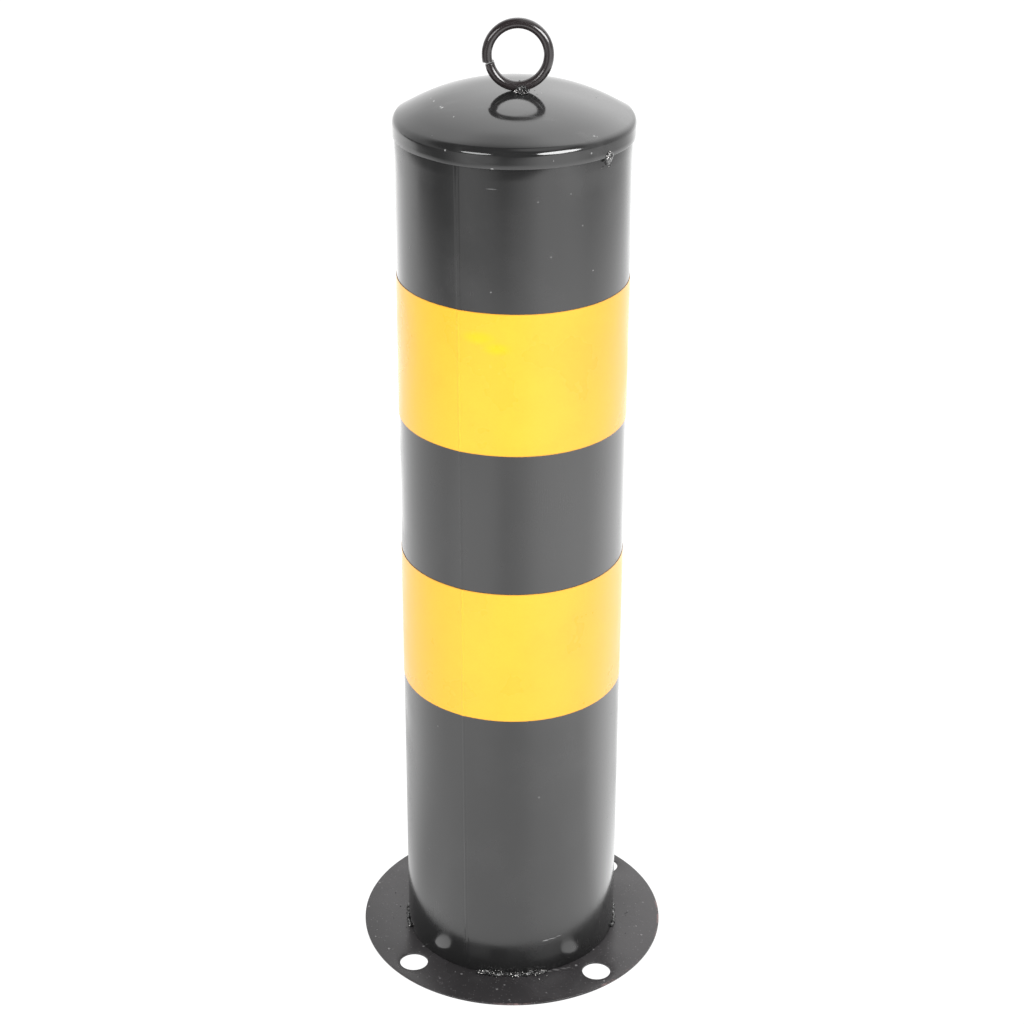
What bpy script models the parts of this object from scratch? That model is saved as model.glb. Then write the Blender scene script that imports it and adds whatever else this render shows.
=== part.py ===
"""Fixed warning bollard: a seam-welded steel tube stitch-welded to a round bolt-down flange.

A pressed domed cap closes the tube's top and carries a welded wire ring, and two bands of yellow
reflective tape go round the tube. The origin is the centre of the flange's underside, +Z is up and
-Y is the front. The flange's bolt holes lie on the diagonals.
"""

import math

import bmesh
import bpy
from mathutils import Matrix, Vector

# Driving dimensions, in metres.
CLEARANCE = 0.0003          # gap kept between pieces that touch on the real object
ROUND_STEPS = 72            # sides of every turned piece

TUBE_RADIUS = 0.057
TUBE_WALL = 0.0015
TUBE_TOP = 0.4555

FLANGE_RADIUS = 0.082
FLANGE_THICKNESS = 0.0012
FLANGE_OPENING_RADIUS = 0.050
BOLT_CIRCLE_RADIUS = 0.070
BOLT_HOLE_RADIUS = 0.0075
BOLT_ANGLES = (45, 135, 225, 315)

TAPE_THICKNESS = 0.0002
TAPE_CLEARANCE = 0.0001     # the tape is stuck on, so its gap is as thin as a film
LOWER_BAND = (0.1600, 0.2331)
UPPER_BAND = (0.3084, 0.3816)

CAP_RADIUS = 0.0583
CAP_SHEET = 0.0007
CAP_SKIRT_BOTTOM = 0.4522
CAP_BEND_HEIGHT = 0.4572    # where the skirt ends and the rolled edge begins
CAP_BEND_RADIUS = 0.0053
CAP_APEX = 0.4768

RING_WIRE_RADIUS = 0.00235
RING_HALF_WIDTH = 0.0147    # to the middle of the wire
RING_HALF_HEIGHT = 0.0150
RING_FORWARD = 0.0133       # the ring stands this far in front of the cap's centre
RING_SIDEWAYS = 0.0014
RING_TURN = 3.75            # degrees, about the post's axis
RING_GAP_AT = 189           # degrees round the ring from its right side, past its top
RING_GAP = 2.2              # degrees left open between the wire's two ends
RING_STEPS = 60

WELD_BEAD_RADIUS = 0.0017
WELD_SPANS = {              # degrees round the post, from +X through +Y
    "flange_weld_front": (-104, -67),
    "flange_weld_right": (-8, 18),
    "flange_weld_rear": (77, 111),
    "flange_weld_left": (165, 192),
}
CAP_TACK_ANGLES = {"cap_tack_front": -37, "cap_tack_rear": 143}
CAP_TACK_SIZE = (0.0013, 0.0026, 0.0035)      # half sizes: outwards, sideways, upwards
RING_WELD_SIZE = (0.0044, 0.0022, 0.0024)     # half sizes: along the ring, forwards, upwards
RING_WELD_SIDEWAYS = 0.0020


def clear_scene():
    for obj in list(bpy.data.objects):
        bpy.data.objects.remove(obj, do_unlink=True)


def new_collection(name):
    collection = bpy.data.collections.new(name)
    bpy.context.scene.collection.children.link(collection)
    return collection


def new_material(name, colour, roughness, metallic):
    material = bpy.data.materials.new(name)
    material.use_nodes = True
    shader = material.node_tree.nodes["Principled BSDF"]
    shader.inputs["Base Color"].default_value = (*colour, 1.0)
    shader.inputs["Roughness"].default_value = roughness
    shader.inputs["Metallic"].default_value = metallic
    return material


def add_object(name, data, material):
    data.materials.append(material)
    obj = bpy.data.objects.new(name, data)
    bollard.objects.link(obj)
    return obj


def arc(centre, radius, start, end, steps):
    """Points of an arc in the profile plane, angles in radians from the upright axis outwards."""
    across, up = centre
    angles = (start + (end - start) * i / steps for i in range(steps + 1))
    return [(across + radius * math.sin(a), up + radius * math.cos(a)) for a in angles]


def turned(name, profile, material):
    """A piece turned about Z from its profile, which runs down the outer side from the top.

    A profile that starts and ends on the axis stays open there, and any other one is closed.
    """
    mesh = bpy.data.meshes.new(name)
    shape = bmesh.new()
    points = [shape.verts.new((across, 0.0, up)) for across, up in profile]
    for first, second in zip(points, points[1:]):
        shape.edges.new((first, second))
    if profile[0][0] > 0.0:
        shape.edges.new((points[-1], points[0]))
    shape.to_mesh(mesh)
    shape.free()
    obj = add_object(name, mesh, material)
    screw = obj.modifiers.new("turn", "SCREW")
    screw.axis = "Z"
    screw.steps = ROUND_STEPS
    screw.render_steps = ROUND_STEPS
    screw.use_merge_vertices = True
    screw.merge_threshold = 0.00001
    screw.use_smooth_shade = True


def sleeve(name, inner, outer, bottom, top, material):
    """A plain round sleeve between two radii and two heights."""
    profile = [(outer, top), (outer, bottom), (inner, bottom), (inner, top)]
    turned(name, profile, material)


def circle_spline(curve, centre, radius, steps):
    spline = curve.splines.new("POLY")
    spline.points.add(steps - 1)
    spline.use_cyclic_u = True
    for i, point in enumerate(spline.points):
        angle = 2.0 * math.pi * i / steps
        across = centre[0] + radius * math.cos(angle)
        along = centre[1] + radius * math.sin(angle)
        point.co = (across, along, 0.0, 1.0)


def make_base_flange(material):
    """A flat round plate with a centre opening and four bolt holes."""
    curve = bpy.data.curves.new("base_flange", "CURVE")
    curve.dimensions = "2D"
    curve.fill_mode = "BOTH"
    curve.extrude = FLANGE_THICKNESS / 2.0
    circle_spline(curve, (0.0, 0.0), FLANGE_RADIUS, ROUND_STEPS)
    circle_spline(curve, (0.0, 0.0), FLANGE_OPENING_RADIUS, ROUND_STEPS)
    for degrees in BOLT_ANGLES:
        angle = math.radians(degrees)
        centre = (BOLT_CIRCLE_RADIUS * math.cos(angle), BOLT_CIRCLE_RADIUS * math.sin(angle))
        circle_spline(curve, centre, BOLT_HOLE_RADIUS, ROUND_STEPS // 3)
    flange = add_object("base_flange", curve, material)
    flange.location.z = FLANGE_THICKNESS / 2.0


def make_post_tube(material):
    bottom = FLANGE_THICKNESS + CLEARANCE
    sleeve("post_tube", TUBE_RADIUS - TUBE_WALL, TUBE_RADIUS, bottom, TUBE_TOP, material)


def dome_radius():
    """Radius of the sphere that ends on the cap's apex and runs smoothly into its rolled edge."""
    bend_across = CAP_RADIUS - CAP_BEND_RADIUS
    rise = CAP_APEX - CAP_BEND_HEIGHT
    return (bend_across ** 2 + rise ** 2 - CAP_BEND_RADIUS ** 2) / (2.0 * (rise - CAP_BEND_RADIUS))


def cap_surface(skin):
    """The cap's profile, from the axis down to the skirt's lower edge, set in by skin.

    It is a spherical dome, a rolled edge and a short upright skirt.
    """
    bend_across = CAP_RADIUS - CAP_BEND_RADIUS
    dome_centre = CAP_APEX - dome_radius()
    meet = math.atan2(bend_across, CAP_BEND_HEIGHT - dome_centre)
    dome = arc((0.0, dome_centre), dome_radius() - skin, 0.0, meet, 6)
    bend = arc((bend_across, CAP_BEND_HEIGHT), CAP_BEND_RADIUS - skin, meet, math.pi / 2.0, 4)
    return dome + bend[1:] + [(CAP_RADIUS - skin, CAP_SKIRT_BOTTOM)]


def cap_height(across):
    """Height of the dome's outer surface at a distance from the cap's axis."""
    return CAP_APEX - dome_radius() + math.sqrt(dome_radius() ** 2 - across ** 2)


def make_dome_cap(material):
    outer = cap_surface(0.0)
    inner = cap_surface(CAP_SHEET)
    turned("dome_cap", outer + inner[::-1], material)


def wire(name, points, radius, material):
    """A round wire along a list of points, with its ends closed."""
    curve = bpy.data.curves.new(name, "CURVE")
    curve.dimensions = "3D"
    curve.bevel_depth = radius
    curve.bevel_resolution = 2
    curve.use_fill_caps = True
    spline = curve.splines.new("POLY")
    spline.points.add(len(points) - 1)
    for point, place in zip(spline.points, points):
        point.co = (*place, 1.0)
    spline.use_smooth = True
    add_object(name, curve, material)


def ring_frame():
    """The matrix that carries the ring's own plane, X across and Z up, to its place on the cap."""
    turn = Matrix.Rotation(math.radians(RING_TURN), 4, "Z")
    wire_rest = cap_height(RING_FORWARD) + CLEARANCE + RING_WIRE_RADIUS
    middle = Vector((RING_SIDEWAYS, -RING_FORWARD, wire_rest + RING_HALF_HEIGHT))
    return turn @ Matrix.Translation(middle)


def make_lifting_ring(material):
    """A wire bent round into a slightly upright oval, with a narrow gap between its ends."""
    start = RING_GAP_AT + RING_GAP / 2.0
    sweep = 360.0 - RING_GAP
    points = []
    for i in range(RING_STEPS + 1):
        angle = math.radians(start + sweep * i / RING_STEPS)
        across = RING_HALF_WIDTH * math.cos(angle)
        up = RING_HALF_HEIGHT * math.sin(angle)
        points.append(ring_frame() @ Vector((across, 0.0, up)))
    wire("lifting_ring", points, RING_WIRE_RADIUS, material)


def bead(name, half_sizes, placed, material):
    """A rounded blob of weld metal, a ball drawn out to three half sizes and then placed."""
    mesh = bpy.data.meshes.new(name)
    shape = bmesh.new()
    bmesh.ops.create_uvsphere(shape, u_segments=16, v_segments=10, radius=1.0)
    bmesh.ops.scale(shape, vec=half_sizes, verts=shape.verts)
    bmesh.ops.transform(shape, matrix=placed, verts=shape.verts)
    shape.to_mesh(mesh)
    shape.free()
    mesh.shade_smooth()
    add_object(name, mesh, material)


def make_ring_weld(material):
    """The bead in the corner between the ring's wire and the cap, in front of the ring."""
    half_forward, half_up = RING_WELD_SIZE[1:]
    forward = RING_FORWARD + RING_WIRE_RADIUS + CLEARANCE + half_forward
    rest = cap_height(forward) + CLEARANCE + half_up
    place = Matrix.Translation((RING_SIDEWAYS + RING_WELD_SIDEWAYS, -forward, rest))
    turn = Matrix.Rotation(math.radians(RING_TURN), 4, "Z")
    bead("ring_weld", RING_WELD_SIZE, turn @ place, material)


def make_cap_tacks(material):
    """Small tacks that straddle the lower edge of the cap's skirt."""
    across = CAP_RADIUS + CLEARANCE + CAP_TACK_SIZE[0]
    place = Matrix.Translation((across, 0.0, CAP_SKIRT_BOTTOM - CLEARANCE))
    for name, degrees in CAP_TACK_ANGLES.items():
        turn = Matrix.Rotation(math.radians(degrees), 4, "Z")
        bead(name, CAP_TACK_SIZE, turn @ place, material)


def make_flange_welds(material):
    """Stitch beads in the corner between the tube and the flange."""
    across = TUBE_RADIUS + CLEARANCE + WELD_BEAD_RADIUS
    up = FLANGE_THICKNESS + CLEARANCE + WELD_BEAD_RADIUS
    for name, (start, end) in WELD_SPANS.items():
        steps = (end - start) // 2
        points = []
        for i in range(steps + 1):
            angle = math.radians(start + (end - start) * i / steps)
            points.append((across * math.cos(angle), across * math.sin(angle), up))
        wire(name, points, WELD_BEAD_RADIUS, material)


def make_bands(material):
    """Two bands of tape wrapped round the tube."""
    inner = TUBE_RADIUS + TAPE_CLEARANCE
    outer = inner + TAPE_THICKNESS
    sleeve("lower_reflective_band", inner, outer, *LOWER_BAND, material)
    sleeve("upper_reflective_band", inner, outer, *UPPER_BAND, material)


def make_bollard():
    black_paint = new_material("black_gloss_paint", (0.025, 0.025, 0.026), 0.2, 0.0)
    cap_paint = new_material("cap_gloss_paint", (0.03, 0.03, 0.031), 0.18, 0.0)
    ring_paint = new_material("ring_gloss_paint", (0.03, 0.028, 0.028), 0.2, 0.0)
    weld_paint = new_material("painted_weld_metal", (0.02, 0.02, 0.021), 0.25, 0.0)
    yellow_tape = new_material("yellow_reflective_tape", (0.98, 0.72, 0.09), 0.4, 0.0)
    make_base_flange(black_paint)
    make_post_tube(black_paint)
    make_dome_cap(cap_paint)
    make_lifting_ring(ring_paint)
    make_ring_weld(weld_paint)
    make_cap_tacks(weld_paint)
    make_flange_welds(weld_paint)
    make_bands(yellow_tape)


clear_scene()
bollard = new_collection("warning_bollard")
make_bollard()
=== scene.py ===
import math
import random

import bmesh
import bpy
from mathutils import Matrix, Vector, noise


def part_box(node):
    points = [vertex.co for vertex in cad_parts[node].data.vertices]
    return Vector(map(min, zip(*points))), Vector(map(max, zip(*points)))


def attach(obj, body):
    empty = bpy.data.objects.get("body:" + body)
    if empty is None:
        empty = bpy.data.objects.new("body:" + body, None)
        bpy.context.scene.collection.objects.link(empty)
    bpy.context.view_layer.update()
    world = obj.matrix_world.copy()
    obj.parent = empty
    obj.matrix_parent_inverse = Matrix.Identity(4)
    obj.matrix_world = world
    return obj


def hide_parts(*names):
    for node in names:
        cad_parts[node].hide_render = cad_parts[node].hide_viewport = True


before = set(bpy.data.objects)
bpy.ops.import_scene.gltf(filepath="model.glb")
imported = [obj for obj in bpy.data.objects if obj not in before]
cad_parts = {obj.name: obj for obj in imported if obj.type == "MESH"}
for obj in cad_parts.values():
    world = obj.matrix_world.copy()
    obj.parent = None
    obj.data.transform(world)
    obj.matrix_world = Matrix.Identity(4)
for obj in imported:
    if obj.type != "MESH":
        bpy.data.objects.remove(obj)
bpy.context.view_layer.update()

# Finished look of a fixed warning bollard: a seam-welded tube on a bolt-down flange, a pressed cap
# with a welded wire ring, two bands of reflective tape and the weld beads. Sizes are in metres.

# ---------------------------------------------------------------- sizes
# Azimuths run anticlockwise seen from above, from +X on the post's right; the front is at -90.

flange_low, flange_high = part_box("base_flange")
tube_low, tube_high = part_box("post_tube")
cap_low, cap_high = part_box("dome_cap")
ring_low, ring_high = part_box("lifting_ring")

FLANGE_RADIUS = flange_high.x
FLANGE_TOP = flange_high.z
FLANGE_THICKNESS = flange_high.z - flange_low.z
FLANGE_OPENING = 0.050
FLANGE_EASE = 0.00025
BOLT_CIRCLE = 0.070
BOLT_HOLE = 0.0075
BOLT_ANGLES = (45, 135, 225, 315)
FLANGE_SHIFT = Vector((0.0006, 0.0, 0.0))
FLANGE_TURN = math.radians(-0.7)

TUBE_RADIUS = tube_high.x
TUBE_WALL = 0.0015
TUBE_SIDES = 240
WALL_INSET = 0.0001                 # the plain wall lies this far inside the tube's full radius
TUBE_COURSES = 48
TUBE_EASE = 0.0002
TUBE_DENTS = 0.00003
DENT_GRAIN = 22.0
SEAM_AT = math.radians(-113.6)      # the long weld seam at the tube's top
SEAM_LEAN = math.radians(2.6)       # how far round it has wandered by the foot
SEAM_PEAK = 0.00022                 # the wall's rise towards the seam
SEAM_PEAK_REACH = 0.0052
SEAM_BEAD = 0.00013                 # the fine bead on the seam itself
SEAM_BEAD_REACH = 0.00045
SEAM_GROOVE = 0.00008               # the groove on either side of the bead
SEAM_GROOVE_AWAY = 0.0009
SEAM_GROOVE_REACH = 0.0003
SEAM_FINE_SPAN = math.radians(3.2)  # the loops have extra points this far round from the seam

CAP_RADIUS = cap_high.x
CAP_SHEET = 0.0007
CAP_EASE = 0.00028
CAP_BEND_RADIUS = 0.0047
CAP_BEND_HEIGHT = cap_low.z + 0.0057
CAP_BEND_ACROSS = CAP_RADIUS - CAP_BEND_RADIUS
CAP_SHIFT = Vector((0.00035, 0.0, 0.0))
CAP_SIDES = 256
CAP_DOME_RINGS = 36
CAP_BEND_RINGS = 14
SKIRT_RINGS = (0.0016, 0.0033)      # extra rings this far under the bend
SKIRT_WAVE = 0.00018
DOME_DENTS = 0.00005
DOME_DENT_GRAIN = 28.0
CROWN_FLATNESS = 0.05
dome_rise = cap_high.z - CAP_BEND_HEIGHT
DOME_RADIUS = CAP_BEND_ACROSS ** 2 + dome_rise ** 2 - CAP_BEND_RADIUS ** 2
DOME_RADIUS /= 2.0 * (dome_rise - CAP_BEND_RADIUS)
DOME_EDGE = CAP_BEND_ACROSS * (1.0 - CAP_BEND_RADIUS / DOME_RADIUS)

WIRE_RADIUS = 0.0025
RING_TURN = math.radians(3.75)
RING_CENTRE = (ring_low + ring_high) / 2.0 + Vector((0.0005, 0.0, -0.0004))
RING_HALF_HEIGHT = (ring_high.z - ring_low.z) / 2.0 - WIRE_RADIUS
RING_HALF_WIDTH = 0.0144
RING_GAP_AT = math.radians(193.0)
RING_GAP = math.radians(2.4)
RING_END_REACH = math.radians(28.0)   # the wire's sprung end strays over this much of its turn
RING_END_IN = 0.0009
RING_END_BACK = 0.00035
WIRE_EASE = 0.0003                  # how far the shears rounded its cut ends

TAPE_FILM = 0.00011
TAPE_GLUE = 0.00009
LAP_GLUE = 0.00005
LAP_AT = math.radians(104.0)        # where each band of tape laps over its own start
LAP_LENGTH = math.radians(11.0)
LAP_STEPS = 10
TAPE_COURSES = 12
TAPE_WRINKLE = 0.00004
TAPE_EDGE_WANDER = 0.00012
TAPE_OVER_SEAM = 1.4                # how much softer the seam shows through the film
UPPER_TILT = 0.0081                 # drop of each band per metre to the right: laid on by hand
LOWER_TILT = 0.0052

# A stitch weld's lumps: half size, step round, how far out from the tube and up from the flange.
LUMP_SIZES = (0.0013, 0.0021)
LUMP_STEPS = (0.0007, 0.0015)
LUMP_OUT = (0.0001, 0.0010)
LUMP_UP = (0.0001, 0.0009)
# Its thrown drops: their half sizes, where they start and how far they spread from there.
FLANGE_DROPS = (0.00014, 0.00038)
FLANGE_DROPS_FROM = 0.0022
FLANGE_DROPS_SPREAD = 0.0035
FLANGE_DROPS_PAST_ENDS = 8.0        # degrees
TUBE_DROPS = (0.00012, 0.00028)
TUBE_DROPS_FROM = 0.002
TUBE_DROPS_SPREAD = 0.003
TUBE_DROPS_PAST_ENDS = 6.0
DROP_RISE = 0.0001                  # a drop's middle lies this far off the face it landed on
# Stitch welds of the flange: (side, from, to, random seed, girth, thrown drops), in degrees.
FLANGE_STITCHES = (
    ("front", -104.0, -67.0, 51, 1.0, 26),
    ("right", -9.0, 17.0, 52, 0.6, 6),
    ("rear", 77.0, 111.0, 53, 0.9, 12),
    ("left", 166.0, 199.0, 54, 0.6, 6),
)
TACK_DROPS = 7
TACK_DROP_SIZES = (0.00012, 0.0003)
TACK_DROPS_BELOW = (0.001, 0.006)   # how far under the skirt they lie
TACK_SINK = 0.0004                  # how deep its lumps sit in the skirt's face
TACK_STEP_IN = 0.0008               # and how much nearer the tube those under the edge are
TACK_JITTER = 0.0002
# Lumps of a cap tack: (to the right of its middle, above the skirt's edge, half size).
TACK_LUMPS = (
    (0.0, 0.0006, 0.0025),
    (0.0006, -0.0014, 0.0022),
    (-0.0012, -0.0006, 0.0019),
    (0.0012, 0.0008, 0.0017),
    (0.0004, -0.0029, 0.0014),
)
RING_DROPS = 16
RING_DROP_SIZES = (0.0001, 0.00026)
RING_DROPS_OUT = (0.004, 0.010)
RING_WELD_SHIFT = 0.0025            # the weld is heavier on the right, and so are its drops
# Lumps of the ring's weld: (to the right, to the front, above the wire's foot, half size), in mm.
RING_LUMPS = (
    (0.6, 1.2, 0.9, 1.5), (2.0, 1.9, 1.0, 1.7), (3.4, 2.3, 0.7, 1.6), (4.4, 1.4, 1.2, 1.3),
    (2.8, 0.6, 2.6, 1.7), (1.2, 0.4, 3.6, 1.2), (3.6, 0.2, 3.8, 1.3), (4.9, 0.3, 2.4, 1.1),
    (2.4, 3.6, 0.1, 1.1), (3.8, 3.5, 0.1, 0.9), (1.0, -1.4, 0.8, 1.4), (3.0, -1.3, 0.9, 1.3),
    (1.0, 0.2, 4.6, 0.7), (3.9, 1.0, 3.9, 0.7), (-0.4, 2.3, 0.9, 1.5), (0.4, 2.4, 2.0, 1.3),
    (1.6, 2.4, 2.4, 1.4), (3.0, 2.0, 2.4, 1.4), (-1.2, 2.6, 0.3, 1.1), (1.2, 3.6, 0.4, 1.3),
)
MM = 0.001

# ---------------------------------------------------------------- finishes

TUBE_BLACK = (0.013, 0.013, 0.0131)
TUBE_ROUGHNESS = 0.16
CAP_BLACK = (0.015, 0.015, 0.0151)
CAP_ROUGHNESS = 0.08
RING_BLACK = (0.018, 0.0148, 0.0153)
RING_ROUGHNESS = 0.17
FLECK_GREY = (0.34, 0.34, 0.34)
WIPED_GRAIN = (16.0, 85.0, 85.0)    # a cloth's strokes run to the left and right
NIB_HEIGHT = 0.00008
RUB_DEPTH = 0.000004

FLANGE_BLACK = (0.030, 0.0284, 0.0295)
FLANGE_BLACK_PATCH = (0.046, 0.0434, 0.0450)
FLANGE_NIB = (0.22, 0.215, 0.218)
FLANGE_DUST = (0.13, 0.126, 0.129)
# Colour of the painted highlight along the tube's foot.
FLANGE_GLINT_GREY = (0.24, 0.235, 0.235)
WORN_RIM = (0.26, 0.17, 0.165)
RIM_WEAR_FROM = 0.0006              # wear starts this far in from the rim
RIM_WEAR_FULL = 0.0001
FLANGE_ROUGHNESS = 0.2
FLANGE_SPECULAR = 0.18
FLANGE_PEEL_DEPTH = 0.00005
FLANGE_NIB_HEIGHT = 0.00012
FLANGE_DUST_HEIGHT = 0.00003

WELD_BLACK = (0.010, 0.010, 0.010)
WELD_BLACK_PATCH = (0.03, 0.029, 0.029)
# Near-white specks painted on the weld beads as glints: painted highlights.
WELD_GLINT_WHITE = (0.74, 0.72, 0.70)
WELD_ROUGHNESS = 0.1
WELD_GRAIN_DEPTH = 0.00012
WELD_GLINT_HEIGHT = 0.00008
# How much of a bead's face carries painted glints, on the front weld and on the quieter stitches.
GLINT_SHARE = 0.3
GLINT_SHARE_QUIET = 0.03

TAPE_YELLOW = (0.80, 0.405, 0.026)
TAPE_YELLOW_PATCH = (0.84, 0.436, 0.031)
TAPE_BEAD = (0.68, 0.28, 0.008)
TAPE_SMEAR = (0.90, 0.42, 0.0)
# The dark line at each edge of a band: partly the film's cut edge, partly painted shade.
TAPE_CUT_AND_SHADE = (0.24, 0.11, 0.012)
TAPE_CUT_AND_SHADE_WIDTH = 0.0007
TAPE_ROUGHNESS = 0.26
TAPE_SPECULAR = 0.32
TAPE_BEAD_GRAIN = 2600.0
TAPE_BEAD_HEIGHT = 0.000004
TAPE_RIPPLE_DEPTH = 0.00006

# Marks on the pieces: (azimuth in degrees, distance from the axis, height, half sizes, strength).
CAP_FLECKS = (
    (-170.3, 0.0392, 0.4697, (0.0005, 0.0016, 0.0014), 0.35),
    (-161.6, 0.0386, 0.4703, (0.0006, 0.0016, 0.0014), 0.75),
    (-145.2, 0.0389, 0.4702, (0.0013, 0.0008, 0.0014), 0.9),
    (-147.5, 0.0388, 0.4702, (0.0006, 0.0012, 0.0014), 0.7),
    (-127.8, 0.0415, 0.4691, (0.0006, 0.0008, 0.0014), 0.5),
    (-43.8, 0.0547, 0.4625, (0.0007, 0.0008, 0.0014), 0.7),
    (-42.4, 0.0554, 0.4620, (0.0005, 0.0006, 0.0014), 0.5),
    (-118.7, CAP_RADIUS, 0.4586, (0.0007, 0.0007, 0.0007), 0.9),
    (-48.7, CAP_RADIUS, 0.4565, (0.0007, 0.0007, 0.0007), 0.9),
    (-95.8, CAP_RADIUS, 0.4524, (0.0010, 0.0008, 0.0005), 0.8),
)
TUBE_FLECKS = (
    (-96.5, TUBE_RADIUS, 0.4424, (0.0034, 0.0014, 0.0003), 0.28),
    (-96.7, TUBE_RADIUS, 0.3923, (0.0006, 0.0010, 0.0005), 0.5),
    (-45.0, TUBE_RADIUS, 0.3984, (0.0006, 0.0006, 0.0006), 0.5),
    (-74.8, TUBE_RADIUS, 0.4362, (0.0005, 0.0010, 0.0005), 0.4),
    (-68.3, TUBE_RADIUS, 0.4090, (0.0005, 0.0010, 0.0005), 0.4),
    (-67.1, TUBE_RADIUS, 0.0214, (0.0026, 0.0020, 0.0004), 0.9),
    (-63.4, TUBE_RADIUS, 0.0217, (0.0036, 0.0026, 0.00035), 0.6),
    (-59.4, TUBE_RADIUS, 0.0222, (0.0026, 0.0020, 0.0003), 0.45),
)
TUBE_SMUDGES = (
    (-74.8, TUBE_RADIUS, 0.4372, (0.0032, 0.0032, 0.0036), 0.16),
    (-68.3, TUBE_RADIUS, 0.4100, (0.0030, 0.0030, 0.0038), 0.16),
)
UPPER_SMEARS = (
    (-102.7, TUBE_RADIUS, 0.3690, (0.0110, 0.0060, 0.0045), 0.8),
    (-94.0, TUBE_RADIUS, 0.3640, (0.0090, 0.0060, 0.0040), 0.8),
)
# A painted highlight: a light line on the flange along the tube's foot, right of the front weld.
FLANGE_FOOT_GLINT = (
    (-65.4, 0.0576, FLANGE_TOP, (0.0026, 0.0010, 0.0010), 0.4),
    (-61.4, 0.0580, FLANGE_TOP, (0.0028, 0.0010, 0.0010), 0.6),
    (-57.2, 0.0588, FLANGE_TOP, (0.0026, 0.0009, 0.0010), 0.4),
    (-54.5, 0.0594, FLANGE_TOP, (0.0018, 0.0008, 0.0010), 0.3),
)
SPOT_CORE = 0.2                     # a mark is full up to this share of its half size

# ---------------------------------------------------------------- studio values
# Bearings are clockwise seen from above, from the front, and with elevations are in degrees.

CAMERA_LENS = 82.57
CAMERA_SENSOR = 36.0
CAMERA_PLACE = Vector((0.07073, -1.07919, 0.78364))
CAMERA_HEADING = math.radians(3.758)
CAMERA_PITCH = math.radians(26.228)
CAMERA_ROLL = math.radians(0.1805)

WHITE = (1.0, 1.0, 1.0, 1.0)
BACKDROP_LIGHT = 1.1                # how bright the camera itself sees the floor and the walls
MATT_LOSS = 0.3

# Soft round patches of the room: (bearing, elevation, full within, gone past).
BACK_LIGHT_PATCH = (150.0, 52.0, 8.0, 52.0)
BACK_WALL_PATCH = (180.0, 15.0, 35.0, 100.0)
CEILING_PATCH = (-10.0, 42.0, 52.0, 72.0)
RIGHT_GLOW_PATCH = (52.0, 64.0, 6.0, 26.0)
BACK_LIGHT = 1.8
WALL_LIGHT = 1.5
BACK_WALL_SHARE = 0.6
CEILING_DARKNESS = 0.97
RIGHT_GLOW = 1.2

FLOOR_SIZE = 14.0
FLOOR_DROP = 0.00005
POOL_LIGHT = 1.95
POOL_BEARING = -45.0
POOL_FADE = (0.58, 1.32)
POOL_REST = 0.08
LEFT_LOBE_PATCH = (-34.0, 0.0, 6.0, 32.0)
LEFT_LOBE = 0.6
RIGHT_LOBE_PATCH = (74.0, 0.0, 22.0, 78.0)
RIGHT_LOBE = 0.95
LOBES_FROM = (0.1, 0.6)
RIGHT_LOBE_END = (0.55, 1.4)
# (strength, bearing, full within, gone past, from reach, to reach): a positive strength adds
# light and a negative one takes a share of it away.
# Patches of painted light and painted shade on the glowing floor.
FLOOR_PATCHES = (
    (0.5, -30.0, 8.0, 25.0, 1.05, 1.4),       # far front left
    (0.35, 48.0, 10.0, 36.0, 0.05, 0.12),     # front right
    (0.55, 108.0, 12.0, 36.0, 0.5, 0.25),     # near, right and a little behind
    (-0.38, -84.0, 12.0, 15.5, 1.18, 1.36),   # a far panel's dark side on the left
    (-0.36, -2.0, 4.0, 34.0, 0.95, 1.45),     # the camera stand's dark side, straight in front
    (-0.3, 105.0, 10.0, 50.0, 1.1, 1.45),     # far right
    (-0.32, 180.0, 35.0, 80.0, 0.55, 0.12),   # the post's painted shadow behind it
    (-0.35, -120.0, 25.0, 65.0, 0.26, 0.1),   # and painted shade close in on its left
)

SOFTBOX_TARGET = Vector((0.0, 0.0, 0.4))
SOFTBOX_DISTANCE = 1.9
# (name, bearing, elevation, width, height, power, lights matt surfaces, shows in glossy ones)
SOFTBOXES = (
    ("right_softbox", 46.0, 19.0, 1.4, 0.85, 62.0, False, True),
    ("left_softbox", -31.0, 14.0, 0.95, 0.5, 12.0, True, True),
    ("front_fill", 1.0, 30.0, 1.2, 1.2, 47.0, True, False),
)


# ---------------------------------------------------------------- working on a mesh by hand

def deselect():
    """Operators act on all that is selected, so nothing is left selected before one."""
    bpy.ops.object.select_all(action="DESELECT")


def named(name):
    """Names the piece that an operator has just made."""
    piece = bpy.context.active_object
    piece.name = name
    piece.data.name = name
    return piece


def make_active(piece):
    deselect()
    piece.select_set(True)
    bpy.context.view_layer.objects.active = piece


def add_loop(name, radius, height, sides):
    """A bare loop of edges round the post's axis, the start of every turned piece."""
    deselect()
    bpy.ops.mesh.primitive_circle_add(vertices=sides, radius=radius, fill_type="NOTHING",
                                      location=(0.0, 0.0, height))
    bpy.ops.object.transform_apply(location=True, rotation=True, scale=True)
    return named(name)


def edit(piece):
    make_active(piece)
    bpy.ops.object.mode_set(mode="EDIT")
    return bmesh.from_edit_mesh(piece.data)


def leave_edit():
    bpy.ops.object.mode_set(mode="OBJECT")


def extrude_up(rise):
    bpy.ops.mesh.extrude_edges_move(TRANSFORM_OT_translate={"value": (0.0, 0.0, rise)})


def raise_walls(piece, heights):
    """Extrudes a loop upwards through a list of heights."""
    edit(piece)
    bpy.ops.mesh.select_all(action="SELECT")
    for lower, upper in zip(heights, heights[1:]):
        extrude_up(upper - lower)
    bpy.ops.mesh.select_all(action="SELECT")
    bpy.ops.mesh.normals_make_consistent(inside=False)
    leave_edit()


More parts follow.
